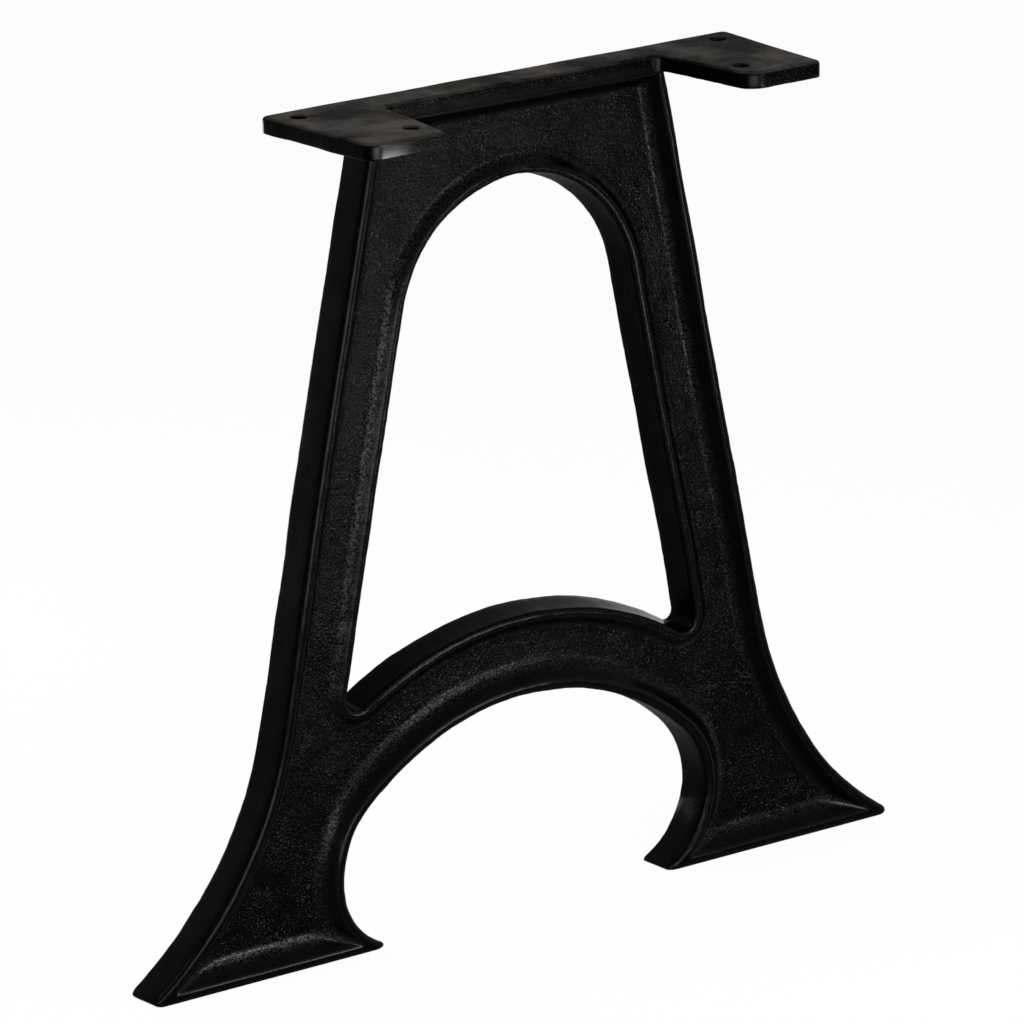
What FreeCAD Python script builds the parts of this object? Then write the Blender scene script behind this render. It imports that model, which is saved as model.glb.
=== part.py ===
import FreeCAD
import Part
import math
import os

# One A-frame trestle leg, cast in one piece. Millimetres, +Z up, the ears point to -Y.

# Overall sizes
height = 720.0              # floor to the top of the plate
base_width = 777.0          # outer toe to outer toe at the front
frame_depth = 35.0          # front rim to back rim
mould_draft = 0.6           # how far outer sides and arch grow into the sand from front to back
window_draft = 4.0          # how far the window closes in from front to back

# Legs and feet
leg_lean = 11.75            # slant of a leg from upright, degrees
leg_top_width = 302.0       # across both legs under the plate
leg_bar = 64.0              # width of a leg across its slant
flare_radius = 330.0        # outer edge where a leg spreads into its foot
toe_tip = 6.0               # height of the blunt outer toe
inner_toe_tip = 4.0         # height of the blunt inner toe

# Arch between the feet
arch_crown = 191.0          # floor to the top of the arch
haunch_radius = 74.0        # tighter bend at each side of the arch
haunch_offset = 120.5       # centre of that bend from the middle
haunch_height = 71.0        # centre of that bend above the floor
arch_bar = 68.0             # height of the bar over the crown

# Window between the legs
head_height = 81.0          # window crown to the top of the plate
window_corner = 12.0        # fillet of the lower corners

# Rims and recessed panels
recess_depth = 13.5         # outer rim down to the panel, on each face
rim_land = 7.5              # flat of the outer rim
leg_wall = 10.0             # run of the sloping wall along legs and flares
foot_wall = 13.0            # run of the sloping wall along soles and arch
head_land = 2.5             # flat of the rim under the plate
head_wall = 9.0             # run of the sloping wall under the plate
window_land = 6.5           # flat of the window rim
window_wall = 9.0           # run of the sloping wall round the window
window_step = 6.0           # the front window rim lies this far behind the outer rim

# Top plate with two ears
plate_thickness = 14.0
plate_length = 481.0        # along the back edge
ear_reach = 138.0           # back edge to the front of an ear
ear_root_inner = 144.0      # inner edge of an ear from the middle, beside the strip
ear_tip_inner = 157.5       # inner edge of an ear from the middle, at the front
ear_tip_outer = 231.0       # outer edge of an ear from the middle, at the front
ear_corner = 11.0           # rounded front corners
notch_corner = 10.0         # rounded inner corners beside the strip
back_corner = 5.0           # rounded back corners

# Screw holes, two in each ear
hole_diameter = 15.0
back_hole_offset = 217.5    # from the middle
back_hole_inset = 22.0      # from the back edge
front_hole_offset = 170.5   # from the middle
front_hole_inset = 110.0    # from the back edge

# Blunted edges and rounded panel feet
rim_blunt = 1.7
recess_fillet = 4.5
plate_blunt = 1.2
hole_blunt = 1.0

cutter_overrun = 1.0        # how far a cutter starts outside the metal
tolerance = 0.001           # for finding edges by their place

lean = math.radians(leg_lean)
under_plate = height - plate_thickness
back_face = ear_reach / 2.0
front_face = back_face - frame_depth
ear_front = back_face - ear_reach
window_rim_face = front_face + window_step


def leg_x(z, inset):
    """Half width at height z of the leg's outer line, moved into the metal by inset."""
    return leg_top_width / 2.0 + (under_plate - z) * math.tan(lean) - inset / math.cos(lean)


# The flare is a circle that touches the leg line and passes through the toe.
toe_x = base_width / 2.0
toe_gap = (toe_x - leg_x(toe_tip, 0.0)) * math.cos(lean)
toe_run = math.sqrt(2.0 * flare_radius * toe_gap - toe_gap ** 2)
flare_start_x = toe_x - toe_gap * math.cos(lean) - toe_run * math.sin(lean)
flare_start_z = toe_tip - toe_gap * math.sin(lean) + toe_run * math.cos(lean)
flare_centre = (flare_start_x + flare_radius * math.cos(lean), flare_start_z + flare_radius * math.sin(lean))

# The crown is a circle that touches both haunch circles and passes over the middle at arch_crown.
crown_rise = arch_crown - haunch_height
crown_span = haunch_offset ** 2 + crown_rise ** 2 - haunch_radius ** 2
crown_radius = crown_span / (2.0 * (crown_rise - haunch_radius))
crown_z = arch_crown - crown_radius
haunch_turn = math.atan2(haunch_offset, haunch_height - crown_z)

# The window head is a circle that touches both leg bars; the sill is concentric with the crown.
window_crown = height - head_height
head_lift = window_crown + leg_bar - leg_top_width / 2.0 * math.cos(lean) - under_plate * math.sin(lean)
head_z = head_lift / (1.0 - math.sin(lean))
head_radius = window_crown - head_z
sill_radius = crown_radius + arch_bar

# Each lower corner of the window is a circle that touches a leg bar and the sill.
corner_line = leg_x(0.0, leg_bar + window_corner)
corner_slope = math.tan(lean)
corner_square = 1.0 + corner_slope ** 2
corner_half = corner_line * corner_slope + crown_z
corner_rest = corner_line ** 2 + crown_z ** 2 - (sill_radius + window_corner) ** 2
corner_z = (corner_half + math.sqrt(corner_half ** 2 - corner_square * corner_rest)) / corner_square
corner_x = leg_x(corner_z, leg_bar + window_corner)
corner_turn = math.atan2(crown_z - corner_z, -corner_x)


def polar(centre, radius, angle):
    return (centre[0] + radius * math.cos(angle), centre[1] + radius * math.sin(angle))


def mirrored(stretch):
    return [(-x, z) for x, z in reversed(stretch)]


def outline(y, right_side, bottom, top):
    """Closed wire at depth y; a stretch of two places is a line and one of three is an arc."""
    left_side = [mirrored(stretch) for stretch in reversed(right_side)]
    edges = []
    for stretch in right_side + [bottom] + left_side + [top]:
        places = [FreeCAD.Vector(x, y, z) for x, z in stretch]
        if len(places) == 2:
            edges.append(Part.makeLine(*places))
        else:
            edges.append(Part.Arc(*places).toShape())
    return Part.Wire(edges)


def frame_outline(y, leg_in, arch_in, sole_z, top_z, toes):
    """Outer edge of the frame, its stretches moved into the metal; toes gives blunt tips their heights."""
    shoulder = (leg_x(top_z, leg_in), top_z)
    flare_top = polar(flare_centre, flare_radius + leg_in, math.pi + lean)
    toe_z, inner_z = toes
    flare_sweep = math.asin((toe_z - flare_centre[1]) / (flare_radius + leg_in))
    toe = polar(flare_centre, flare_radius + leg_in, math.pi - flare_sweep)
    flare_middle = polar(flare_centre, flare_radius + leg_in, math.pi + (lean - flare_sweep) / 2.0)
    haunch_centre = (haunch_offset, haunch_height)
    inner_sweep = math.asin((inner_z - haunch_height) / (haunch_radius + arch_in))
    inner_toe = polar(haunch_centre, haunch_radius + arch_in, inner_sweep)
    haunch_end = math.pi / 2.0 - haunch_turn
    haunch_middle = polar(haunch_centre, haunch_radius + arch_in, (inner_sweep + haunch_end) / 2.0)
    haunch_top = polar(haunch_centre, haunch_radius + arch_in, haunch_end)
    right_side = [[shoulder, flare_top], [flare_top, flare_middle, toe]]
    if toe_z > sole_z:
        right_side.append([toe, (toe[0], sole_z)])
    right_side.append([(toe[0], sole_z), (inner_toe[0], sole_z)])
    if inner_z > sole_z:
        right_side.append([(inner_toe[0], sole_z), inner_toe])
    right_side.append([inner_toe, haunch_middle, haunch_top])
    crown = [haunch_top, (0.0, arch_crown + arch_in), (-haunch_top[0], haunch_top[1])]
    head = [(-shoulder[0], top_z), shoulder]
    return outline(y, right_side, crown, head)


def window_outline(y, inset):
    """Edge of the window, moved into the metal by inset."""
    corner_centre = (corner_x, corner_z)
    corner_radius = window_corner + inset
    shoulder = polar((0.0, head_z), head_radius + inset, lean)
    side_end = polar(corner_centre, corner_radius, lean)
    corner_middle = polar(corner_centre, corner_radius, (lean + corner_turn) / 2.0)
    sill_end = polar(corner_centre, corner_radius, corner_turn)
    right_side = [[shoulder, side_end], [side_end, corner_middle, sill_end]]
    sill = [sill_end, (0.0, crown_z + sill_radius - inset), (-sill_end[0], sill_end[1])]
    head = [(-shoulder[0], shoulder[1]), (0.0, window_crown + inset), shoulder]
    return outline(y, right_side, sill, head)


def through(outlines):
    """Solid with straight walls from each outline to the next."""
    return Part.makeLoft(outlines, True, True)


def frame_block():
    """Legs, feet and arch bar as one slab with blunt edges, its soles cut flat."""
    sections = (
        (front_face, rim_blunt),
        (front_face + rim_blunt, 0.0),
        (back_face - rim_blunt, -mould_draft),
        (back_face, rim_blunt - mould_draft),
    )
    tips = (toe_tip, inner_toe_tip)
    root = height - plate_thickness / 2.0
    rough = through([frame_outline(y, inset, inset, -cutter_overrun, root, tips) for y, inset in sections])
    corner = FreeCAD.Vector(-base_width, -ear_reach, -2.0 * cutter_overrun)
    ground = Part.makeBox(2.0 * base_width, 2.0 * ear_reach, 2.0 * cutter_overrun, corner)
    return rough.cut(ground)


def recess_outline(y, share, land_cut, draft):
    """Recess edge part of the way down its wall: 0 at the rim, 1 at the panel."""
    legs = rim_land - land_cut - draft + leg_wall * share
    arch = rim_land - land_cut - draft + foot_wall * share
    sole = rim_land - land_cut + foot_wall * share
    top = under_plate - head_land + land_cut - head_wall * share
    return frame_outline(y, legs, arch, sole, top, (sole, sole))


def recess(face, inward, draft):
    """Cutter for one panel; inward is +1 from the front and -1 from the back."""
    blunt_share = rim_blunt / recess_depth
    return through([
        recess_outline(face - inward * cutter_overrun, 0.0, rim_blunt, draft),
        recess_outline(face, 0.0, rim_blunt, draft),
        recess_outline(face + inward * rim_blunt, blunt_share, 0.0, draft),
        recess_outline(face + inward * recess_depth, 1.0, 0.0, draft),
    ])


def window_rim(face, inward, rise, draft):
    """Rim round the window, standing on the panel and sunk a little into it."""
    land = window_land - draft
    blunt_share = rim_blunt / rise
    sunk = 1.0 + cutter_overrun / rise
    return through([
        window_outline(face, land - rim_blunt),
        window_outline(face + inward * rim_blunt, land + window_wall * blunt_share),
        window_outline(face + inward * rise * sunk, land + window_wall * sunk),
    ])


def window_opening():
    return through([
        window_outline(front_face - cutter_overrun, rim_blunt),
        window_outline(window_rim_face, rim_blunt),
        window_outline(window_rim_face + rim_blunt, 0.0),
        window_outline(back_face - rim_blunt, -window_draft),
        window_outline(back_face, rim_blunt - window_draft),
        window_outline(back_face + cutter_overrun, rim_blunt - window_draft),
    ])


def plate():
    """Strip over the frame with an ear at each end, seen in plan as a C."""
    right = [
        (plate_length / 2.0, back_face, back_corner),
        (ear_tip_outer, ear_front, ear_corner),
        (ear_tip_inner, ear_front, ear_corner),
        (ear_root_inner, front_face, notch_corner),
    ]
    corners = right + [(-x, y, radius) for x, y, radius in reversed(right)]
    places = [FreeCAD.Vector(x, y, under_plate) for x, y, radius in corners]
    slab = Part.Face(Part.makePolygon(places + places[:1])).extrude(FreeCAD.Vector(0, 0, plate_thickness))
    for x, y, radius in corners:
        upright = [edge for edge in slab.Edges if stands_at(edge, x, y)]
        slab = slab.makeFillet(radius, upright)
    for x, inset in ((back_hole_offset, back_hole_inset), (front_hole_offset, front_hole_inset)):
        for side in (-1.0, 1.0):
            base = FreeCAD.Vector(side * x, back_face - inset, under_plate)
            slab = slab.cut(Part.makeCylinder(hole_diameter / 2.0, plate_thickness, base))
    rims = edges_within(slab, "Z", height) + edges_within(slab, "Z", under_plate)
    outside = [edge for edge in rims if len(edge.Vertexes) == 2]
    slab = slab.makeChamfer(plate_blunt, outside)
    mouths = [edge for edge in slab.Edges if len(edge.Vertexes) == 1]
    return slab.makeChamfer(hole_blunt, mouths)


def stands_at(edge, x, y):
    box = edge.BoundBox
    return math.hypot(box.Center.x - x, box.Center.y - y) < tolerance and box.ZLength > tolerance


def edges_within(shape, axis, level):
    """Edges that lie wholly in the plane across an axis at that level."""
    found = []
    for edge in shape.Edges:
        box = edge.BoundBox
        low, high = getattr(box, axis + "Min"), getattr(box, axis + "Max")
        if abs(low - level) < tolerance and abs(high - level) < tolerance:
            found.append(edge)
    return found


def frame():
    """Two legs, their feet and the arch bar, with a rimmed panel sunk into each face."""
    body = frame_block()
    body = body.cut([recess(front_face, 1.0, 0.0), recess(back_face, -1.0, mould_draft)])
    front_rise = recess_depth - window_step
    front_rim = window_rim(window_rim_face, 1.0, front_rise, 0.0)
    back_rim = window_rim(back_face, -1.0, recess_depth, window_draft)
    body = body.fuse([front_rim, back_rim]).cut(window_opening()).removeSplitter()
    for level in (front_face + recess_depth, back_face - recess_depth):
        body = body.makeFillet(recess_fillet, edges_within(body, "Y", level))
    return body


os.makedirs("parts", exist_ok=True)
casting = frame().fuse(plate()).removeSplitter()
print("leg_casting", casting.isValid(), len(casting.Solids), round(casting.Volume / 1000.0), "cm3")
casting.exportStep("parts/leg_casting.step")
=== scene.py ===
import bmesh
import bpy
import numpy as np
from mathutils import Matrix, Vector


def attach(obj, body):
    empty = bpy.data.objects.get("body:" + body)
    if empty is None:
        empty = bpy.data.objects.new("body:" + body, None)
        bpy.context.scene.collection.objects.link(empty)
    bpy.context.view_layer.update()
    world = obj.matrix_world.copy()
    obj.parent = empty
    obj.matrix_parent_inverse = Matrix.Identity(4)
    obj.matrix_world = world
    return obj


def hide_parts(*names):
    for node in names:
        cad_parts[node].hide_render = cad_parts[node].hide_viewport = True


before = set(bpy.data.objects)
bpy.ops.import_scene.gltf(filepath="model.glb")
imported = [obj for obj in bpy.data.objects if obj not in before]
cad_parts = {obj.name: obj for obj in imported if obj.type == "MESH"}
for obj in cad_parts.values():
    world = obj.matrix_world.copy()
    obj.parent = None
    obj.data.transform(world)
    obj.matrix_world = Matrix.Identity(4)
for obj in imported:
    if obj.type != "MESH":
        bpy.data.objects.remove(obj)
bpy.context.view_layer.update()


# lines and arcs of the leg, in millimetres: x across, y to the back, z up
legShape = {
    "frontFace": 34.0, "backFace": 69.0, "underPlate": 706.0,
    "lean": 11.75, "topHalf": 151.0, "bar": 64.0,  # slant in degrees, half width under the plate, bar width
    "flareRadius": 330.0, "toeHalf": 388.5, "toeTip": 6.0,
    "crown": 191.0, "haunchRadius": 74.0, "haunchX": 120.5, "haunchZ": 71.0, "archBar": 68.0,
    "windowCrown": 639.0, "windowCorner": 12.0,
    "windowDraft": 4.0,  # how far the window closes in towards the back
}

lean = np.radians(legShape["lean"])
topHalf, underPlate = legShape["topHalf"], legShape["underPlate"]
frontFace, backFace = legShape["frontFace"], legShape["backFace"]
flareR, haunchR = legShape["flareRadius"], legShape["haunchRadius"]
haunchX, haunchZ = legShape["haunchX"], legShape["haunchZ"]


def legX(z, inset):  # leg's outer straight line, moved into the metal
    return topHalf + (underPlate - z) * np.tan(lean) - inset / np.cos(lean)


# flare: circle that touches the leg line and passes through the toe
toeGap = (legShape["toeHalf"] - legX(legShape["toeTip"], 0.0)) * np.cos(lean)
toeRun = np.sqrt(2 * flareR * toeGap - toeGap ** 2)
flareX = legShape["toeHalf"] - toeGap * np.cos(lean) - toeRun * np.sin(lean) + flareR * np.cos(lean)
flareZ = legShape["toeTip"] - toeGap * np.sin(lean) + toeRun * np.cos(lean) + flareR * np.sin(lean)

# crown: circle that touches both haunches
crownRise = legShape["crown"] - haunchZ
crownR = (haunchX ** 2 + crownRise ** 2 - haunchR ** 2) / (2 * (crownRise - haunchR))
crownZ = legShape["crown"] - crownR
haunchTurn = np.arctan2(haunchX, haunchZ - crownZ)

# window: a round head that touches both bars, a sill concentric with the crown, a fillet in each lower corner
headLift = legShape["windowCrown"] + legShape["bar"] - topHalf * np.cos(lean) - underPlate * np.sin(lean)
headZ = headLift / (1 - np.sin(lean))
headR = legShape["windowCrown"] - headZ
sillR = crownR + legShape["archBar"]
cornerR = legShape["windowCorner"]
cornerLine = legX(0.0, legShape["bar"] + cornerR)
slope = np.tan(lean)
halfSum = cornerLine * slope + crownZ  # the fillet's centre lies on a line and a circle: a quadratic in z
remainder = cornerLine ** 2 + crownZ ** 2 - (sillR + cornerR) ** 2
cornerZ = (halfSum + np.sqrt(halfSum ** 2 - (1 + slope ** 2) * remainder)) / (1 + slope ** 2)
cornerX = legX(cornerZ, legShape["bar"] + cornerR)
cornerTurn = np.arctan2(crownZ - cornerZ, -cornerX)


cells = {  # cells along each stretch of the right half, then through the section
    "top": 18, "legUpper": 34, "legLower": 80, "flare": 64, "tip": 7, "sole": 26, "haunch": 64, "crown": 50,
    "across": 13, "corner": 14, "cove": 9, "round": 6, "side": 4,
}


def stretch(start, end, count, first=False):  # rows run from start to end, one row for each level
    u = np.linspace(0.0, 1.0, count + 1)[None, :]
    u = u if first else u[:, 1:]
    return start * (1 - u) + end * u


def arc(cx, cz, radius, start, end, count):  # circle points from one angle to another
    angle = stretch(start, end, count)
    return cx + radius * np.cos(angle), cz + radius * np.sin(angle)


def nose(p0, p1, p2, weight, count):  # rational quadratic: p0 and p2 on the curve, p1 the sharp corner
    u = np.linspace(0.0, 1.0, count + 1)[None, 1:]
    b0, b1, b2 = (1 - u) ** 2, 2 * weight * u * (1 - u), u ** 2
    return [(p0[i] * b0 + p1[i] * b1 + p2[i] * b2) / (b0 + b1 + b2) for i in (0, 1)]


def outerPath(legIn, archIn, soleZ, topZ, reach, innerReach, weight):
    # right half of the outer edge, from the top middle round the foot to the crown's middle;
    # straight, arc, rounded toe, straight, rounded toe, arc, arc, each moved into the metal by its inset
    splitZ = headZ + headR * np.sin(lean) + 0 * topZ
    endZ = flareZ - (flareR + legIn) * np.sin(lean)
    zUpper, zLower = stretch(topZ, splitZ, cells["legUpper"]), stretch(splitZ, endZ, cells["legLower"])
    xTop = stretch(0 * topZ, legX(topZ, legIn), cells["top"], True)
    xs, zs = [xTop, legX(zUpper, legIn), legX(zLower, legIn)], [topZ + 0 * xTop, zUpper, zLower]
    r = flareR + legIn
    mitre = np.pi + np.arcsin((flareZ - soleZ) / r)
    toe = (flareX + r * np.cos(mitre), soleZ)
    turn = mitre - reach / r
    flare = arc(flareX, flareZ, r, np.pi + lean + 0 * r, turn, cells["flare"])
    tip = nose((flare[0][:, -1:], flare[1][:, -1:]), toe, (toe[0] - reach, soleZ), weight, cells["tip"])
    h = haunchR + archIn
    innerMitre = np.arcsin((soleZ - haunchZ) / h)
    innerToe = (haunchX + h * np.cos(innerMitre), soleZ)
    innerTurn = innerMitre + innerReach / h
    rise = (haunchX + h * np.cos(innerTurn), haunchZ + h * np.sin(innerTurn))
    sole = stretch(toe[0] - reach, innerToe[0] + innerReach, cells["sole"])
    innerTip = nose((innerToe[0] + innerReach, soleZ), innerToe, rise, weight, cells["tip"])
    join = np.pi / 2 - haunchTurn + 0 * h  # where the haunch meets the crown
    haunch = arc(haunchX, haunchZ, h, innerTurn, join, cells["haunch"])
    crown = arc(0.0, crownZ, crownR + archIn, join, np.pi / 2 + 0 * h, cells["crown"])
    xs += [flare[0], tip[0], sole, innerTip[0], haunch[0], crown[0]]
    zs += [flare[1], tip[1], soleZ + 0 * sole, innerTip[1], haunch[1], crown[1]]
    return np.stack([np.concatenate(xs, 1), np.concatenate(zs, 1)], -1)


def windowPath(inset):
    # right half of the window's edge, from its crown to the sill's middle;
    # arc, straight, arc, arc, each moved into the metal by the inset
    one = 1 + 0 * inset
    r = headR + inset
    angle = stretch(np.pi / 2 * one, lean * one, cells["top"] + cells["legUpper"], True)
    hx, hz = r * np.cos(angle), headZ + r * np.sin(angle)
    c = cornerR + inset
    sx = stretch(r * np.cos(lean), cornerX + c * np.cos(lean), cells["legLower"])
    sz = stretch(headZ + r * np.sin(lean), cornerZ + c * np.sin(lean), cells["legLower"])
    qx, qz = arc(cornerX, cornerZ, c, lean * one, cornerTurn * one, cells["corner"])
    sillTurn = np.arctan2(cornerZ - crownZ, cornerX)
    gx, gz = arc(0.0, crownZ, sillR - inset, sillTurn * one, np.pi / 2 * one, cells["crown"])
    return np.stack([np.concatenate([hx, sx, qx, gx], 1), np.concatenate([hz, sz, qz, gz], 1)], -1)


section = {  # the rims' cross-section
    "depth": 13.5, "land": 7.5, "legWall": 10.0, "footWall": 13.0, "headLand": 2.5, "headWall": 9.0,
    "windowLand": 6.5, "windowWall": 9.0, "windowStep": 6.0,
    "foot": 0.52, "footOut": 0.62,  # shares of the wall that the cove takes, up the wall and over the panel
    "rimRound": 2.0, "sideRound": 5.4, "backRound": 1.8, "leastFlat": 0.1,
    "soleTight": 2.5, "headLap": 4.0,  # power that tightens the edge on the floor, rise into the plate
    "toeReach": 14.5, "innerReach": 16.0, "toeWeight": 0.55, "landReach": 6.0, "panelReach": 17.0,
}


def bend(p0, p1, p2, count):  # quadratic curve between two lines, p1 where they would meet
    u = np.linspace(0.0, 1.0, count + 1)[:, None]
    return (1 - u) ** 2 * np.array(p0) + 2 * u * (1 - u) * np.array(p1) + u ** 2 * np.array(p2)


def rimLevels(land, depth, edge):
    # rows of (land, share of the wall, depth), from the panel over the rim to the side:
    # a cove, the sloping wall, a round, the flat land, a round
    f, o = section["foot"], section["footOut"]
    r = section["rimRound"]
    s = min(edge, land - r - section["leastFlat"])
    w = r / np.hypot(depth, section["legWall"])
    foot = bend((land, 1 + o, depth), (land, 1, depth), (land, 1 - f, depth * (1 - f)), cells["cove"])
    rim = bend((land, w, depth * w), (land, 0, 0), (land - r, 0, 0), cells["round"])
    side = bend((s, 0, 0), (0, 0, 0), (0, 0, s), cells["round"])
    middle = (foot[-1:] + rim[:1]) / 2
    return np.concatenate([foot, middle, rim, side])


def rimRows(land, face, depth):
    # whole section from the front panel to the back one: front rim, straight side, back rim;
    # for each row its land, share of the wall, y and share of the draft
    front = rimLevels(land, depth, section["sideRound"])
    back = rimLevels(land, section["depth"], section["backRound"])[::-1]
    down = np.linspace(0, 1, cells["side"] + 1)[1:-1]
    side = np.linspace(face + section["sideRound"], backFace - section["backRound"], cells["side"] + 1)[1:-1]
    lands = np.concatenate([front[:, 0], 0 * side, back[:, 0]])
    shares = np.concatenate([front[:, 1], 0 * side, back[:, 1]])
    y = np.concatenate([face + front[:, 2], side, backFace - back[:, 2]])
    draft = np.concatenate([0 * front[:, 0], down, 1 + 0 * back[:, 0]])
    return lands, shares, y, draft


def outerBand():
    # section rows carried round the outer edge: inset = land + share of that stretch's wall
    land, share, y, _ = rimRows(section["land"], frontFace, section["depth"])
    t = land / section["land"]
    legIn = land + share * section["legWall"]
    archIn = land + share * section["footWall"]
    tight = np.minimum(land / section["sideRound"], 1)
    soleZ = land * tight ** section["soleTight"] + share * section["footWall"]
    topZ = underPlate - section["headLand"] * t + section["headLap"] * (1 - t) - share * section["headWall"]
    turn = section["landReach"] * t + (section["panelReach"] - section["landReach"]) * np.clip(share, 0, 1)
    toe = section["toeReach"] * (1 - t) + turn
    innerToe = section["innerReach"] * (1 - t) + turn
    columns = [v[:, None] for v in (legIn, archIn, soleZ, topZ, toe, innerToe)]
    return outerPath(*columns, section["toeWeight"]), y


def windowBand():
    # section rows carried round the window: inset = land + share of the wall - draft;
    # the front rim lies lower than the outer one, the back rim level with it
    step = section["windowStep"]
    land, share, y, draft = rimRows(section["windowLand"], frontFace + step, section["depth"] - step)
    inset = land + share * section["windowWall"] - draft * legShape["windowDraft"]
    return windowPath(inset[:, None]), y


def lift(path, y):  # (rows, stations, x z) and a depth for each row become x y z
    return np.stack([path[..., 0], np.broadcast_to(y[:, None], path.shape[:2]), path[..., 1]], -1)


def mirrorX(points):
    return points * np.array([-1.0, 1.0, 1.0])


def gridFaces(rows, columns, start=0):  # four corners of each cell of a grid
    index = np.arange(rows * columns).reshape(rows, columns) + start
    return np.stack([index[:-1, :-1], index[:-1, 1:], index[1:, 1:], index[1:, :-1]], -1).reshape(-1, 4)


def between(a, b):  # straight lines from one edge to the other
    u = np.linspace(0, 1, cells["across"] + 1)[:, None, None]
    return a[None] * (1 - u) + b[None] * u


def coons(left, right, top, bottom):
    # patch from four edges: the two rulings added, less the flat patch through the corners
    u, v = np.linspace(0, 1, len(top))[None, :, None], np.linspace(0, 1, len(left))[:, None, None]
    ruled = (1 - u) * left[:, None] + u * right[:, None] + (1 - v) * top[None] + v * bottom[None]
    flat = (1 - u) * (1 - v) * top[0] + u * (1 - v) * top[-1] + (1 - u) * v * bottom[0] + u * v * bottom[-1]
    return ruled - flat


def panelPatches(outer, window):
    # head, leg and arch are ruled from the outer line to the window's,
    # and the foot is a patch on its four edges
    n = np.cumsum([0, cells["top"] + cells["legUpper"], cells["legLower"], cells["flare"], cells["tip"],
                   cells["sole"], cells["tip"], cells["haunch"], cells["crown"]])
    m = np.cumsum([0, cells["top"] + cells["legUpper"], cells["legLower"], cells["corner"], cells["crown"]])
    head = between(outer[n[0]:n[1] + 1], window[m[0]:m[1] + 1])
    leg = between(outer[n[1]:n[2] + 1], window[m[1]:m[2] + 1])
    arch = between(outer[n[7]:n[8] + 1], window[m[3]:m[4] + 1])
    top = np.concatenate([leg[:, -1], window[m[2] + 1:m[3]], arch[::-1, 0]])
    foot = coons(outer[n[2]:n[3] + 1], outer[n[6]:n[7] + 1][::-1], top, outer[n[3]:n[6] + 1])
    return [head, leg, arch, foot]


seams = {"weld": 0.00002, "collapse": 0.00001}  # metres


class Sheets:  # gathers grids into one vertex list and one face list
    def __init__(self):
        self.points, self.faces, self.count = [], [], 0

    def add(self, grid):
        rows, columns = grid.shape[:2]
        self.points.append(grid.reshape(-1, 3))
        self.faces.append(gridFaces(rows, columns, self.count))
        self.count += rows * columns

    def mesh(self, name):  # in metres, with its seams welded and its faces turned outwards
        points, faces = np.concatenate(self.points) * 0.001, np.concatenate(self.faces)
        mesh = bpy.data.meshes.new(name)
        mesh.from_pydata(points.tolist(), [], faces.tolist())
        work = bmesh.new()
        work.from_mesh(mesh)
        bmesh.ops.remove_doubles(work, verts=work.verts, dist=seams["weld"])
        bmesh.ops.dissolve_degenerate(work, edges=work.edges, dist=seams["collapse"])
        bmesh.ops.recalc_face_normals(work, faces=work.faces)
        openEdges = sum(1 for e in work.edges if len(e.link_faces) != 2)
        work.to_mesh(mesh)
        work.free()
        print(name, len(mesh.vertices), "vertices", len(mesh.polygons), "faces", openEdges, "open edges")
        return mesh


def frameMesh():  # both bands and the panels at their two ends, each with its mirror image
    sheets = Sheets()
    outerRows, outerY = outerBand()
    windowRows, windowY = windowBand()
    for grid in (lift(outerRows, outerY), lift(windowRows, windowY)):
        sheets.add(grid)
        sheets.add(mirrorX(grid))
    for end in (0, -1):
        depth = np.full(1, outerY[end])
        for patch in panelPatches(outerRows[end], windowRows[end]):
            grid = lift(patch.reshape(1, -1, 2), depth).reshape(patch.shape[:2] + (3,))
            sheets.add(grid)
            sheets.add(mirrorX(grid))
    return sheets.mesh("legFrame")


topPlate = {
    "top": 720.0, "thickness": 14.0, "backHalf": 240.5, "back": 69.0, "front": -69.0, "stripFront": 33.7,
    "rootInner": 144.0, "tipInner": 157.5, "tipOuter": 231.0, "rightLong": 1.8,
    "innerSlant": 1.008, "outerSlant": 1.002,  # an inset's run across a slanting side
    "rightTips": (18.0, 4.5), "leftTips": (4.5, 12.0), "notchCorner": 10.0, "backCorner": 6.0,  # inner, outer
    "edgeRound": 3.0, "underRound": 1.8, "holeRadius": 7.5, "holeRound": 1.1,
    "backHole": (217.5, 47.0), "frontHole": (170.5, -41.0), "splitY": 4.0,  # splitY parts the holes' fields
    "softRun": 8.0, "ringEase": 1.6,  # stations in which the lower edge softens, closeness of rings to a hole
}

plateCells = {
    "strip": 40, "notch": 10, "tip": 12, "end": 8, "rootSide": 6, "earSide": 18, "front": 16, "backSide": 14,
    "backEar": 26, "seam": 12, "cut": 20, "rings": 8, "mouth": 4,
}

plateOrder = (
    "strip", "notch", "rootSide", "innerSide", "tipIn", "front", "tipOut", "outerSide", "backSide", "end",
    "backEar", "backStrip",
)


def rounded(corner, before, after, radius, count):
    # corner of a polygon cut by an arc that touches both sides
    corner, before, after = (np.array(p, float) for p in (corner, before, after))
    a, b = before - corner, after - corner
    a, b = a / np.linalg.norm(a), b / np.linalg.norm(b)
    halfTurn = np.arccos(np.clip(a @ b, -1, 1)) / 2
    p0, p2 = corner + a * radius / np.tan(halfTurn), corner + b * radius / np.tan(halfTurn)
    centre = corner + (a + b) / np.linalg.norm(a + b) * radius / np.sin(halfTurn)
    start, end = np.arctan2(*(p0 - centre)[::-1]), np.arctan2(*(p2 - centre)[::-1])
    turn = (end - start + np.pi) % (2 * np.pi) - np.pi
    angle = start + turn * np.linspace(0, 1, count + 1)
    return centre + radius * np.stack([np.cos(angle), np.sin(angle)], -1)


def line(a, b, count):  # evenly spaced points from a to b
    u = np.linspace(0, 1, count + 1)[:, None]
    return np.array(a) * (1 - u) + np.array(b) * u


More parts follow.
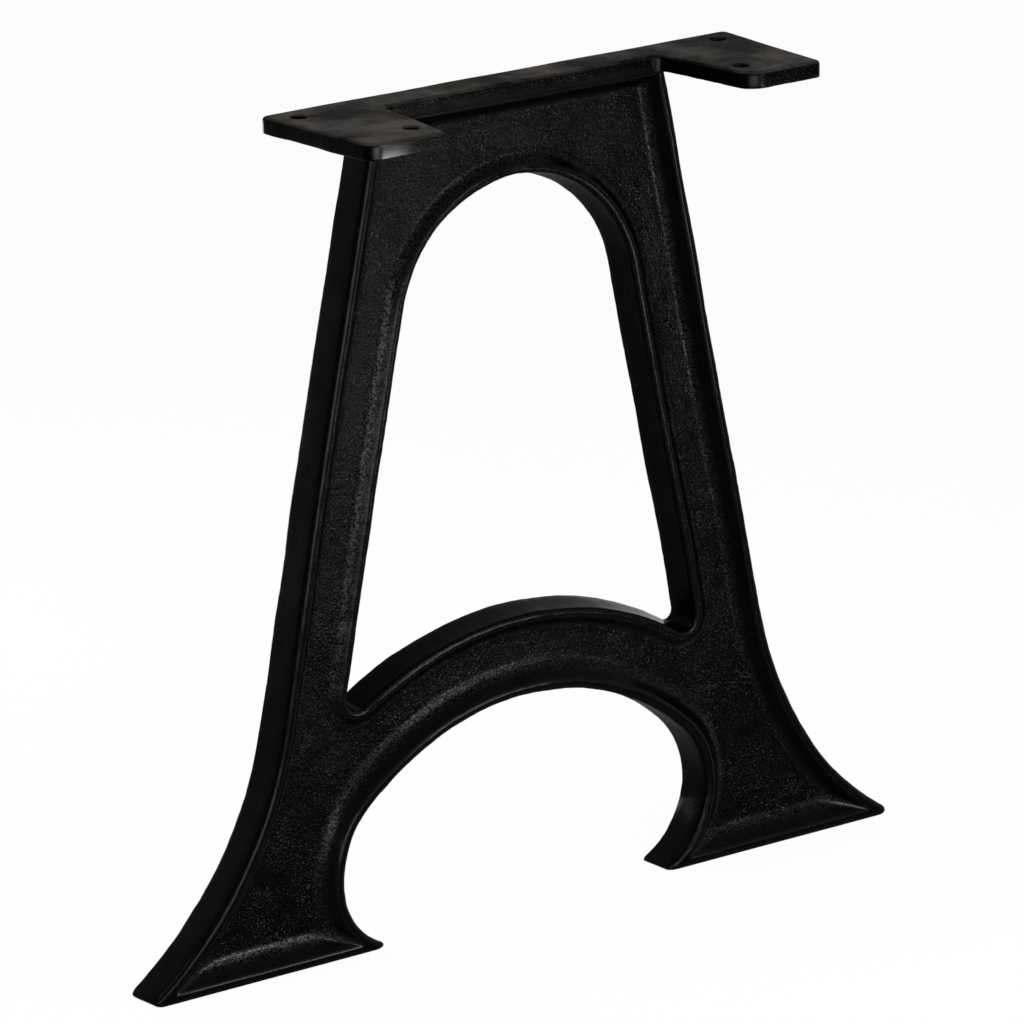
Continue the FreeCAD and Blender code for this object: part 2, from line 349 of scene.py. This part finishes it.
def slanted(x0, y0, x1, y1, y):  # x at y on the line through two points
    return x0 + (x1 - x0) * (y - y0) / (y1 - y0)


def plateOutline(inset, tips, longer):
    # right half of the C in plan, moved inwards: strip front, notch, ear, back edge; named stretches
    p, c, i = topPlate, plateCells, inset

    def inner(y):
        x = slanted(p["rootInner"], p["stripFront"], p["tipInner"], p["front"], y)
        return x + i * p["innerSlant"]

    def outer(y):
        x = slanted(p["backHalf"], p["back"], p["tipOuter"], p["front"], y)
        return x + (longer - i * p["outerSlant"])

    front, back, strip, split = p["front"] + i, p["back"] - i, p["stripFront"] + i, p["splitY"]
    notch, tipIn, tipOut = (inner(strip), strip), (inner(front), front), (outer(front), front)
    end = (outer(back), back)
    parts = {}
    parts["notch"] = rounded(notch, (0, strip), tipIn, p["notchCorner"] + i, c["notch"])
    parts["strip"] = line((0, strip), parts["notch"][0], c["strip"])
    parts["tipIn"] = rounded(tipIn, notch, tipOut, tips[0] - i, c["tip"])
    parts["tipOut"] = rounded(tipOut, tipIn, end, tips[1] - i, c["tip"])
    parts["end"] = rounded(end, tipOut, (0, back), p["backCorner"] - i, c["end"])
    parts["rootSide"] = line(parts["notch"][-1], (inner(split), split), c["rootSide"])
    parts["innerSide"] = line((inner(split), split), parts["tipIn"][0], c["earSide"])
    parts["front"] = line(parts["tipIn"][-1], parts["tipOut"][0], c["front"])
    parts["outerSide"] = line(parts["tipOut"][-1], (outer(split), split), c["earSide"])
    parts["backSide"] = line((outer(split), split), parts["end"][0], c["backSide"])
    parts["backEar"] = line(parts["end"][-1], (parts["notch"][0][0], back), c["backEar"])
    parts["backStrip"] = line((parts["notch"][0][0], back), (0, back), c["strip"])
    return parts


def joined(parts, names):  # stretches end to end, shared ends once
    return np.concatenate([parts[n] if k == 0 else parts[n][1:] for k, n in enumerate(names)])


def plateBand(tips, longer, sizes):
    # edge rows carried round the C: a round at the top, the upright side, a round below
    p = topPlate
    high, low = p["top"], p["top"] - p["thickness"]
    r, s = p["edgeRound"], p["underRound"]
    upper = bend((r, high), (0, high), (0, high - r), cells["round"])
    lower = bend((0, low + s), (0, low), (s, low), cells["round"])
    levels = np.concatenate([upper, lower])
    outlines = np.stack([joined(plateOutline(i, tips, longer), plateOrder) for i in levels[:, 0]])
    heights = np.repeat(levels[:, 1:2], outlines.shape[1], 1)
    soften = np.clip((np.arange(outlines.shape[1]) - sizes["strip"]) / p["softRun"], 0, 1)
    # along the strip the lower edge stays sharp, where the plate runs into the frame
    k = len(upper)
    outlines[k:] = outlines[k - 1:k] * (1 - soften)[None, :, None] + outlines[k:] * soften[None, :, None]
    heights[k:] = low * (1 - soften) + heights[k:] * soften
    return np.concatenate([outlines, heights[..., None]], -1)


def holePatches(loop, centre, spoke, z, inwards):
    # rings from the hole's mouth out to the loop, and the rounded mouth down to half the plate's depth
    p = topPlate
    rim = np.array(centre) + spoke * (p["holeRadius"] + p["holeRound"])
    ring = np.concatenate([rim, np.full((len(rim), 1), z)], 1)
    w = (np.linspace(0, 1, plateCells["rings"] + 1) ** p["ringEase"])[:, None, None]
    mouth = bend((p["holeRound"], 0), (0, 0), (0, p["holeRound"]), plateCells["mouth"])
    wall = np.concatenate([mouth, [[0, p["thickness"] / 2]]])
    bore = np.array(centre) + spoke[None] * (p["holeRadius"] + wall[:, 0])[:, None, None]
    depth = np.broadcast_to((z + inwards * wall[:, 1])[:, None, None], bore.shape[:2] + (1,))
    return [ring[None] * (1 - w) + loop[None] * w, np.concatenate([bore, depth], -1)]


def plateHalf(sheets, tips, longer, place):
    # the edge, then the two flat faces: a ruled strip and, in each ear, rings from a hole to the edge
    p = topPlate
    sizes = {name: len(part) for name, part in plateOutline(0.0, tips, longer).items()}
    band = plateBand(tips, longer, sizes)
    sheets.add(place(band))
    spokes = {}
    for row, z, inwards in ((0, p["top"], -1), (-1, p["top"] - p["thickness"], 1)):
        flat, start = {}, 0
        for name in plateOrder:
            flat[name] = band[row, start:start + sizes[name]]
            start += sizes[name] - 1
        seam = line(flat["notch"][0], flat["backStrip"][0], plateCells["seam"])
        cut = line(flat["innerSide"][0], flat["backSide"][0], plateCells["cut"])
        u = np.linspace(0, 1, plateCells["seam"] + 1)[:, None, None]
        patches = [flat["strip"][None] * (1 - u) + flat["backStrip"][::-1][None] * u]
        backLoop = np.concatenate([flat["notch"], flat["rootSide"][1:], cut[1:], flat["backSide"][1:],
                                   flat["end"][1:], flat["backEar"][1:], seam[::-1][1:]])
        frontLoop = np.concatenate([cut[::-1], flat["innerSide"][1:], flat["tipIn"][1:], flat["front"][1:],
                                    flat["tipOut"][1:], flat["outerSide"][1:]])
        for loop, centre in ((backLoop, p["backHole"]), (frontLoop, p["frontHole"])):
            spoke = loop[:, :2] - np.array(centre)
            spoke = spoke / np.linalg.norm(spoke, axis=1)[:, None]
            spoke = spokes.setdefault(centre, spoke)  # one set for both faces
            patches += holePatches(loop, centre, spoke, z, inwards)
        for patch in patches:
            sheets.add(place(patch))


def plateMesh():  # right half, then the left one mirrored, each with its own corners
    sheets = Sheets()
    plateHalf(sheets, topPlate["rightTips"], topPlate["rightLong"], np.array)
    plateHalf(sheets, topPlate["leftTips"], 0.0, mirrorX)
    return sheets.mesh("topPlate")


castMarks = {
    "seed": 41, "waveCount": 28, "waveSpread": (0.75, 1.3),
    "lumps": ((90.0, 0.28), (28.0, 0.09), (11.0, 0.06)),  # wavelength and height, millimetres
    "dents": (  # place, size, depth
        (-210.4, 48.1, 420.6, 4.5, 1.3),
        (-190.0, 47.5, 356.0, 6.0, 0.9),
        (-181.0, 47.5, 343.0, 4.0, 0.7),
    ),
    "coat": 0.5, "flatRun": 3.0, "topLeast": 0.3,  # paint, fade at sole and top, share left on top
    "sway": 4.2, "swayTop": 460.0, "swayRun": 320.0,  # the feet stand to one side
    "longToe": 4.5, "toeStart": 300.0, "toeRun": 88.0,  # the right toe is longer
    "archHalf": 190.0, "archEase": 110.0, "rightEase": 90.0,  # inside this width the arch's feet stay put
    "stayTop": (40.0, 150.0), "stayEase": (60.0, 40.0),  # and below this height: left, more at the right
    "crease": 50.0,  # edges sharper than this stay sharp, degrees
}


def waves(points, length, rng):  # smooth field: the mean of plane waves of one length in many directions
    count = castMarks["waveCount"]
    way = rng.normal(size=(count, 3))
    spread = rng.uniform(*castMarks["waveSpread"], count)
    way *= (2 * np.pi / length * spread / np.linalg.norm(way, axis=1))[:, None]
    return np.sin(points @ way.T + rng.uniform(0, 2 * np.pi, count)).sum(1) / np.sqrt(count / 2)


def spot(points, x, y, z, size):  # bell curve round a place, 1 at its middle
    return np.exp(-((points - np.array([x, y, z])) ** 2).sum(1) / (2 * (size / 2) ** 2))


def ease(value, start, run):  # 0 up to the start, 1 from start + run on
    return np.clip((value - start) / run, 0, 1)


def castSurface(mesh):
    # each vertex moves along its normal by the lumps less the dents, then sideways with the sway
    c = castMarks
    rng = np.random.default_rng(c["seed"])
    count = len(mesh.vertices)
    p, normal = np.empty(count * 3), np.empty(count * 3, np.float32)
    mesh.vertices.foreach_get("co", p)
    mesh.vertex_normals.foreach_get("vector", normal)
    p, normal = p.reshape(-1, 3) * 1000, normal.reshape(-1, 3).astype(float)
    move = c["coat"] + sum(height * waves(p, length, rng) for length, height in c["lumps"])
    for x, y, z, size, depth in c["dents"]:
        move = move - depth * spot(p, x, y, z, size)
    topFade = np.clip((topPlate["top"] + c["coat"] - p[:, 2]) / c["flatRun"], c["topLeast"], 1)
    soleFade = ease(p[:, 2], 0, c["flatRun"])
    p = p + normal * (move * soleFade * topFade)[:, None]  # soles stay flat, the top nearly
    low = ease(-p[:, 2], -c["swayTop"], c["swayRun"])
    right = ease(p[:, 0], -c["rightEase"], 2 * c["rightEase"])
    (stayTop, moreTop), (stayEase, moreEase) = c["stayTop"], c["stayEase"]
    above = (p[:, 2] - stayTop - moreTop * right) / (stayEase + moreEase * right)
    outside = np.clip(np.maximum((abs(p[:, 0]) - c["archHalf"]) / c["archEase"], above), 0, 1)
    toe = ease(p[:, 0], c["toeStart"], c["toeRun"]) ** 2
    p[:, 0] += c["sway"] * low * low * (3 - 2 * low) * outside + c["longToe"] * toe
    mesh.vertices.foreach_set("co", (p * 0.001).ravel())
    mesh.update()
    return p, normal


paintZones = {
    "sunkFrom": 4.0, "sunkRun": 5.0, "headGap": 1.0,  # depth below the rim, gap under the plate
    "panelFrom": 0.80, "panelRun": 0.15,  # how squarely a face looks to the front or the back
    "plateGrain": 0.8, "plateFrom": 0.85, "plateRun": 0.1, "plateTop": 718.0,  # sandy plate fronts
    "underFrom": -0.05, "underRun": 0.7,  # how far a face looks down
    "edgeFrom": 0.64, "edgeRun": 0.15, "edgeTo": 0.995, "edgeFade": 0.03,
    "polish": (-214.0, -69.0, 711.0, 21.0), "shine": 4.5, "shineFrom": 0.6, "shineRun": 0.3,  # worn corner
}


def markZones(mesh, p, normal):
    # paint zones from each vertex's place and normal: panel, under, edge and sunk, mostly from 0 to 1
    s = paintZones
    z, facing = p[:, 2], abs(normal[:, 1])
    depth = np.minimum(p[:, 1] - frontFace, backFace - p[:, 1])
    sunk = (z < underPlate - s["headGap"]) * ease(depth, s["sunkFrom"], s["sunkRun"])
    plateSide = s["plateGrain"] * (z > underPlate) * (z < s["plateTop"])
    plateSide = plateSide * ease(-normal[:, 1], s["plateFrom"], s["plateRun"])
    panel = np.maximum(sunk * ease(facing, s["panelFrom"], s["panelRun"]), plateSide)
    under = ease(-normal[:, 2], s["underFrom"], s["underRun"])
    edge = ease(facing, s["edgeFrom"], s["edgeRun"]) * ease(-facing, -s["edgeTo"], s["edgeFade"])
    worn = s["shine"] * spot(p, *s["polish"]) * ease(facing, s["shineFrom"], s["shineRun"])
    edge = np.maximum(edge, worn)
    for name, value in (("panel", panel), ("under", under), ("edge", edge), ("sunk", sunk)):
        mesh.attributes.new(name, "FLOAT", "POINT").data.foreach_set("value", value.astype(np.float32))


class Sock:  # one shader value; sums and products of them add Math nodes
    def __init__(self, tree, socket):
        self.tree, self.socket = tree, socket

    def math(self, operation, a, b):
        node = self.tree.nodes.new("ShaderNodeMath")
        node.operation = operation
        for i, value in enumerate((a, b)):
            if isinstance(value, Sock):
                self.tree.links.new(value.socket, node.inputs[i])
            else:
                node.inputs[i].default_value = value
        return Sock(self.tree, node.outputs[0])

    def __add__(self, other): return self.math("ADD", self, other)
    def __radd__(self, other): return self.math("ADD", other, self)
    def __sub__(self, other): return self.math("SUBTRACT", self, other)
    def __rsub__(self, other): return self.math("SUBTRACT", other, self)
    def __mul__(self, other): return self.math("MULTIPLY", self, other)
    def __rmul__(self, other): return self.math("MULTIPLY", other, self)


class Nodes:  # one material's or world's node tree
    def __init__(self, owner):
        owner.use_nodes = True
        self.tree = owner.node_tree
        self.tree.nodes.clear()

    def add(self, kind, settings=(), **sockets):
        # settings first, then values or links of sockets, by name with _ for a space, or by number as i0
        node = self.tree.nodes.new("ShaderNode" + kind)
        for key, value in dict(settings).items():
            setattr(node, key, value)
        for key, value in sockets.items():
            target = node.inputs[int(key[1:])] if key[1:].isdigit() else node.inputs[key.replace("_", " ")]
            if isinstance(value, Sock):
                self.tree.links.new(value.socket, target)
            else:
                target.default_value = value
        return lambda name=0: Sock(self.tree, node.outputs[name])


paint = {
    "black": (0.0002, 0.00018, 0.00018, 1), "smudge": (0.031, 0.026, 0.021, 1),
    # painted glint: pale colour of the specks that stand in for highlights on the grain
    "paintedGlint": (0.027, 0.0265, 0.026, 1),
    "rimRough": 0.18, "panelRough": 0.17, "specular": 0.0135, "edgeCoat": 0.085, "coatRough": 0.27,
    "roughSwing": 0.12, "topRough": 0.40, "smearGloss": 0.16, "underRough": 0.3,
    "grain": (560.0, 2.0, 0.55), "lump": (230.0, 2.0, 0.5),  # scale, detail, roughness of each noise
    "broad": (17.0, 6.0, 0.68), "fine": (700.0, 1.0, 0.5), "patch": (42.0, 2.0, 0.5),
    "pitScale": 336.0, "patchShare": 0.25,
    "topLevel": (0.7180, 0.7192), "smear": (0.41, 0.64),  # from, to of each ramp
    "glint": (0.62, 0.78), "sand": (0.42, 0.62),
    "rimPaintedGlints": 0.12, "sandCoat": 2.2,  # share of the painted glints off the panels, coat on grains in the coves
    "grainHeight": 0.55, "lumpHeight": 0.15, "pitDepth": 0.2,
    "bumpDepth": 0.0008, "panelBump": 1.0, "rimBump": 0.14,
}


def noise(n, place, name):
    scale, detail, roughness = paint[name]
    return n.add("TexNoise", Vector=place, Scale=scale, Detail=detail, Roughness=roughness)("Fac")


def ramp(n, value, name):  # 0 below the first level, 1 above the second
    start, end = paint[name]
    return n.add("MapRange", {"clamp": True}, Value=value, From_Min=start, From_Max=end)("Result")


def blended(n, share, first, second):  # colour mix
    return n.add("Mix", {"data_type": "RGBA"}, i0=share, i6=first, i7=second)(2)


def blackPaint():
    # gloss black with smudges on the plate's top, grain in the panels with fine painted glints on it as pale
    # specks in the colour, and a clear coat on the edges
    k = paint
    material = bpy.data.materials.new("blackPaint")
    n = Nodes(material)
    place = n.add("TexCoord")("Object")
    panel, under, edge, sunk = (n.add("Attribute", {"attribute_name": name})("Fac")
                                for name in ("panel", "under", "edge", "sunk"))
    grain, lump, broad, fine, patch = (noise(n, place, name)
                                       for name in ("grain", "lump", "broad", "fine", "patch"))
    pits = n.add("TexVoronoi", Vector=place, Scale=k["pitScale"])("Distance")
    onTop = ramp(n, n.add("SeparateXYZ", Vector=place)("Z"), "topLevel")
    smear = ramp(n, broad, "smear")
    glint = ramp(n, fine + (patch - 0.5) * k["patchShare"], "glint")
    colour = blended(n, onTop * smear, k["black"], k["smudge"])
    # painted glints: pale specks mixed into the colour where the fine noise peaks, mostly in the panels
    colour = blended(n, glint * (k["rimPaintedGlints"] + (1 - k["rimPaintedGlints"]) * panel), colour, k["paintedGlint"])
    gloss = k["rimRough"] + panel * (k["panelRough"] - k["rimRough"])
    uneven = (broad - 0.5) * k["roughSwing"] + (grain - 0.5) * k["roughSwing"]
    rough = gloss + uneven + onTop * (k["topRough"] - smear * k["smearGloss"]) + under * k["underRough"]
    height = grain * k["grainHeight"] + lump * k["lumpHeight"] - pits * k["pitDepth"]
    amount = k["rimBump"] + panel * (k["panelBump"] - k["rimBump"])
    bump = n.add("Bump", Strength=1.0, Distance=k["bumpDepth"], Height=height * amount)("Normal")
    sand = ramp(n, grain, "sand")
    coat = edge * k["edgeCoat"] * (1 - under) * (1 + sunk * (sand * k["sandCoat"] - 1))
    surface = n.add("BsdfPrincipled", Base_Color=colour, Roughness=rough, Normal=bump, Coat_Weight=coat,
                    Coat_Roughness=k["coatRough"], Specular_IOR_Level=k["specular"])("BSDF")
    n.add("OutputMaterial", Surface=surface)
    return material


def legCasting():  # frame and plate made one, as they are cast
    frameObject = bpy.data.objects.new("legFrame", frameMesh())
    plateObject = bpy.data.objects.new("topPlate", plateMesh())
    for o in (frameObject, plateObject):
        bpy.context.scene.collection.objects.link(o)
    union = frameObject.modifiers.new("joinPlate", "BOOLEAN")
    union.operation, union.solver, union.object = "UNION", "MANIFOLD", plateObject
    graph = bpy.context.evaluated_depsgraph_get()
    mesh = bpy.data.meshes.new_from_object(frameObject.evaluated_get(graph))
    for o in (frameObject, plateObject):
        bpy.data.objects.remove(o)
    places, normals = castSurface(mesh)
    markZones(mesh, places, normals)
    mesh.shade_smooth()
    mesh.set_sharp_from_angle(angle=np.radians(castMarks["crease"]))
    piece = bpy.data.objects.new("legCasting", mesh)
    bpy.context.scene.collection.objects.link(piece)
    mesh.materials.clear()
    mesh.materials.append(blackPaint())
    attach(piece, "root")
    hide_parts("leg_casting")
    triangles = sum(len(f.vertices) - 2 for f in mesh.polygons)
    print("casting", len(mesh.vertices), "vertices", triangles, "triangles")
    return piece


studio = {
    "floor": (0.88, 0.88, 0.88, 1), "floorSize": 14.0, "floorDrop": 0.0006, "floorGlow": 0.95,
    "ambient": 0.35, "aim": (0.0, 0.05, 0.36),
    "lamps": {  # place, width, height, watts
        "right": ((0.68, -1.22, 0.14), 0.32, 0.32, 15.0),
        "left": ((-0.7, -1.45, 0.38), 1.4, 0.5, 18.0),
        "high": ((0.75, -1.9, 0.95), 0.6, 0.5, 16.0),
        "over": ((-1.4, 0.4, 2.6), 1.6, 1.6, 40.0),
        "side": ((-1.7, 2.5, 1.2), 2.8, 2.8, 5.0),
        "rear": ((-0.5, 1.5, 0.25), 0.6, 0.4, 14.0),
    },
}


def seenWhite(n):  # 1 for camera, glossy and transmission rays
    path = n.add("LightPath")
    total = path("Is Camera Ray") + path("Is Glossy Ray") + path("Is Transmission Ray")
    return n.add("Clamp", Value=total)()


def paleFloor():
    half = studio["floorSize"] / 2
    mesh = bpy.data.meshes.new("floor")
    corners = [(-half, -half, 0), (half, -half, 0), (half, half, 0), (-half, half, 0)]
    mesh.from_pydata(corners, [], [(0, 1, 2, 3)])
    floor = bpy.data.objects.new("floor", mesh)
    floor.location.z = -studio["floorDrop"]
    bpy.context.scene.collection.objects.link(floor)
    material = bpy.data.materials.new("paleFloor")
    n = Nodes(material)
    plain = n.add("BsdfDiffuse", Color=studio["floor"])("BSDF")
    glow = n.add("Emission", Color=(1, 1, 1, 1), Strength=1.0)("Emission")
    surface = n.add("MixShader", i0=seenWhite(n) * studio["floorGlow"], i1=plain, i2=glow)()
    n.add("OutputMaterial", Surface=surface)
    mesh.materials.append(material)


def whiteWorld():
    world = bpy.data.worlds.new("studio")
    bpy.context.scene.world = world
    n = Nodes(world)
    soft = n.add("Background", Color=(1, 1, 1, 1), Strength=studio["ambient"])()
    seen = n.add("Background", Color=(1, 1, 1, 1), Strength=1.0)()
    n.add("OutputWorld", Surface=n.add("MixShader", i0=seenWhite(n), i1=soft, i2=seen)())


def studioStage():
    paleFloor()
    whiteWorld()
    for name, (place, width, height, power) in studio["lamps"].items():
        light = bpy.data.lights.new(name + "Light", "AREA")
        light.shape, light.size, light.size_y, light.energy = "ELLIPSE", width, height, power
        lamp = bpy.data.objects.new(name + "Light", light)
        lamp.visible_camera = False
        bpy.context.scene.collection.objects.link(lamp)
        way = Vector(studio["aim"]) - Vector(place)
        lamp.location, lamp.rotation_euler = place, way.to_track_quat("-Z", "Y").to_euler()
    print("stage ready")


camera = {
    "azimuth": -37.635, "elevation": 16.510, "roll": -0.529, "distance": 6.19794, "aim": (0.0, 0.0515, 0.36),
    "shiftRight": -0.00092, "shiftUp": -0.01252, "lens": 261.12, "sensor": 36.0, "farEnd": 60.0,
}


def photoCamera():
    a, e, r = (np.radians(camera[k]) for k in ("azimuth", "elevation", "roll"))
    back = Vector((np.sin(a) * np.cos(e), -np.cos(a) * np.cos(e), np.sin(e)))
    level = Vector((np.cos(a), np.sin(a), 0))
    up = back.cross(level)
    right = level * np.cos(r) + up * np.sin(r)
    above = up * np.cos(r) - level * np.sin(r)
    data = bpy.data.cameras.new("photoCamera")
    data.sensor_width, data.lens, data.clip_end = camera["sensor"], camera["lens"], camera["farEnd"]
    eye = bpy.data.objects.new("photoCamera", data)
    place = Vector(camera["aim"]) + back * camera["distance"]
    place = place + right * camera["shiftRight"] + above * camera["shiftUp"]
    turn = Matrix((right, above, back)).transposed().to_4x4()
    eye.matrix_world = Matrix.Translation(place) @ turn
    bpy.context.scene.collection.objects.link(eye)
    bpy.context.scene.camera = eye
    print("camera ready")


bpy.context.scene.view_settings.view_transform = "Standard"
photoCamera()
studioStage()
legCasting()
